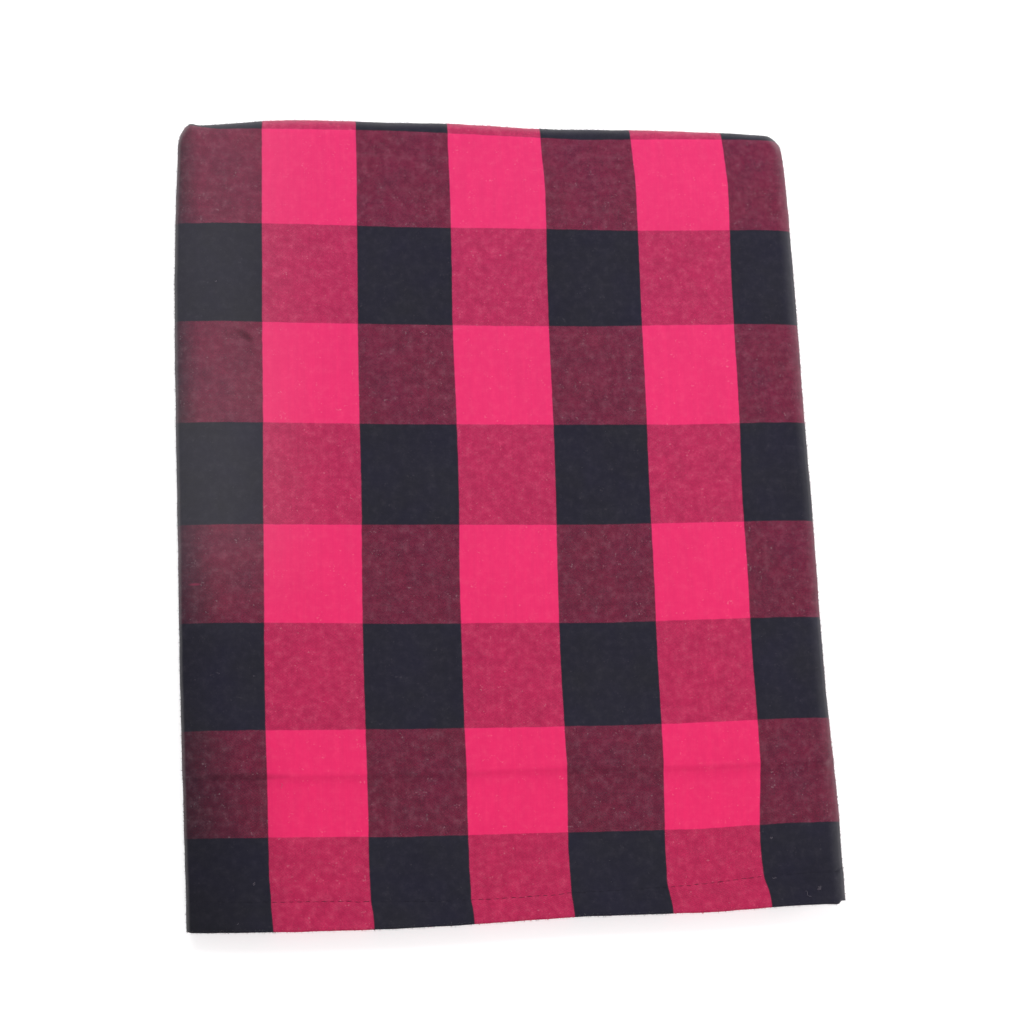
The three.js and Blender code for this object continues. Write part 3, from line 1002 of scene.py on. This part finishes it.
lint_sizes = {"Lint width": 0.00009}
lint_height = 0.0001
lint_shade = (0.17, 0.14, 0.18, 1)
lint_light = (0.38, 0.33, 0.38, 1)
lint_curls = [
    {"x": -0.1683, "y": 0.1364, "length": 0.0011, "turn": 20, "curl": 0.0004, "loops": 1.5},
    {"x": -0.0556, "y": 0.1730, "length": 0.0010, "turn": 80, "curl": 0.0004, "loops": 1.0},
    {"x": -0.1497, "y": -0.2132, "length": 0.0014, "turn": 100, "curl": 0.0006, "loops": 2.0},
    {"x": -0.1588, "y": -0.2349, "length": 0.0008, "turn": 40, "curl": 0.0002, "loops": 1.0},
    {"x": 0.0496, "y": -0.0374, "length": 0.0012, "turn": 60, "curl": 0.0004, "loops": 1.0},
    {"x": 0.1484, "y": -0.1956, "length": 0.0014, "turn": 10, "curl": 0.0006, "loops": 1.5},
    {"x": 0.1489, "y": -0.2185, "length": 0.0022, "turn": 5, "curl": 0.0003, "loops": 3.0},
    {"x": 0.1754, "y": -0.2250, "length": 0.0024, "turn": 70, "curl": 0.0010, "loops": 3.0},
    {"x": 0.1683, "y": -0.2282, "length": 0.0046, "turn": -52, "curl": 0.0006, "loops": 1.2},
    {"x": -0.1685, "y": -0.0946, "length": 0.0010, "turn": 0, "curl": 0.0003, "loops": 1.0},
    {"x": -0.1485, "y": -0.0967, "length": 0.0009, "turn": 30, "curl": 0.0003, "loops": 1.0},
    {"x": -0.1753, "y": -0.0596, "length": 0.0013, "turn": 75, "curl": 0.0004, "loops": 1.5},
    {"x": -0.0565, "y": -0.1835, "length": 0.0032, "turn": 2, "curl": 0.0003, "loops": 1.3},
    {"x": -0.0351, "y": -0.1722, "length": 0.0011, "turn": 50, "curl": 0.0004, "loops": 1.0},
    {"x": -0.1335, "y": -0.1586, "length": 0.0038, "turn": 88, "curl": 0.0003, "loops": 1.5},
]


def lint_tree():
    """Thin threads along lines."""
    tree, sizes = nodes_tree("lint", lint_sizes)
    curls = sizes["Geometry"]
    curve = curls.node("GeometryNodeMeshToCurve", {}, {"Mesh": curls})
    radius = sizes["Lint width"] * 0.5
    ring = curls.node("GeometryNodeCurvePrimitiveCircle", {}, {"Resolution": 4, "Radius": radius})
    thread = curls.node(
        "GeometryNodeCurveToMesh", {}, {"Curve": curve, "Profile Curve": ring, "Fill Caps": True}
    )
    ended(thread, sizes["Finish"])
    return tree


def pale_lint():
    """Undyed cotton fluff."""
    material = bpy.data.materials.new("pale_lint")
    material.use_nodes = True
    tree = material.node_tree
    cotton = tree.nodes["Principled BSDF"]
    fluff = Value(tree).node("ShaderNodeTexCoord", {}, {}, 3).noise(900, 2)
    colour = (fluff * 1.6 + 0.5).mixed(lint_shade, lint_light)
    cotton.inputs["Roughness"].default_value = 0.9
    cotton.inputs["Specular IOR Level"].default_value = 0.16
    tree.links.new(colour.socket, cotton.inputs["Base Color"])
    return material


top_points = face[hem_rows][:, top_ply].reshape(-1, 3)
lint_line = []
lint_steps = []
for curl in lint_curls:
    way_along = np.linspace(0, 1, 6 + round(8 * curl["loops"]))
    along = (way_along - 0.5) * curl["length"]
    swing = 2 * math.pi * curl["loops"] * way_along
    across = curl["curl"] * np.sin(swing)
    turn = math.radians(curl["turn"])
    x = curl["x"] + along * math.cos(turn) - across * math.sin(turn)
    y = curl["y"] + along * math.sin(turn) + across * math.cos(turn)
    nearest = np.argmin(np.hypot(top_points[:, 0] - curl["x"], top_points[:, 1] - curl["y"]))
    z = top_points[nearest, 2] + lint_height * (1.5 + np.cos(swing))
    first = len(lint_line)
    lint_line += np.column_stack([x, y, z]).tolist()
    lint_steps += [(here, here + 1) for here in range(first, len(lint_line) - 1)]
lint_mesh = bpy.data.meshes.new("lint")
lint_mesh.from_pydata(lint_line, lint_steps, [])
lint = bpy.data.objects.new("lint", lint_mesh)
bpy.context.collection.objects.link(lint)
plain_mesh(lint, lint_tree(), lint_sizes, pale_lint())
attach(lint, body)

# The stage
# A plain pale floor, soft light from above and behind, and a camera nearly overhead.

floor_size = 12.0
floor_middle = Vector((0, 0, 0))
bpy.ops.mesh.primitive_plane_add(size=floor_size, location=floor_middle)
floor = bpy.context.object
floor.name = "floor"
paint = bpy.data.materials.new("pale_floor")
paint.use_nodes = True
surface = paint.node_tree.nodes["Principled BSDF"].inputs
surface["Base Color"].default_value = (0.86, 0.86, 0.865, 1)
surface["Roughness"].default_value = 0.9
surface["Specular IOR Level"].default_value = 0.1
surface["Emission Color"].default_value = (1, 1, 1, 1)
surface["Emission Strength"].default_value = 0.56
floor.data.materials.append(paint)

scene = bpy.context.scene
scene.view_settings.view_transform = "Standard"
scene.view_settings.look = "None"

world = bpy.data.worlds.new("studio")
scene.world = world
world.use_nodes = True
world.node_tree.nodes["Background"].inputs["Color"].default_value = (1, 1, 1, 1)
world.node_tree.nodes["Background"].inputs["Strength"].default_value = 0.46


def softbox(name, place, size, power):
    """A square studio light that faces the middle of the floor."""
    light = bpy.data.lights.new(name, "AREA")
    light.shape = "SQUARE"
    light.size = size
    light.energy = power
    lamp = bpy.data.objects.new(name, light)
    lamp.location = place
    lamp.rotation_euler = (floor_middle - Vector(place)).to_track_quat("-Z", "Y").to_euler()
    bpy.context.collection.objects.link(lamp)


softbox("far_softbox", place=(-0.10, 1.40, 2.00), size=1.5, power=34)
softbox("right_softbox", place=(1.70, 0.0, 1.10), size=1.0, power=11)

camera_place = (-0.18465, -0.24340, 1.27524)
camera_turn = (11.037, -8.149, -1.867)
camera_lens = 77.34
camera_data = bpy.data.cameras.new("camera")
camera_data.sensor_width = 36
camera_data.lens = camera_lens
camera = bpy.data.objects.new("camera", camera_data)
camera.location = camera_place
camera.rotation_euler = Euler([math.radians(angle) for angle in camera_turn], "XYZ")
bpy.context.collection.objects.link(camera)
scene.camera = camera
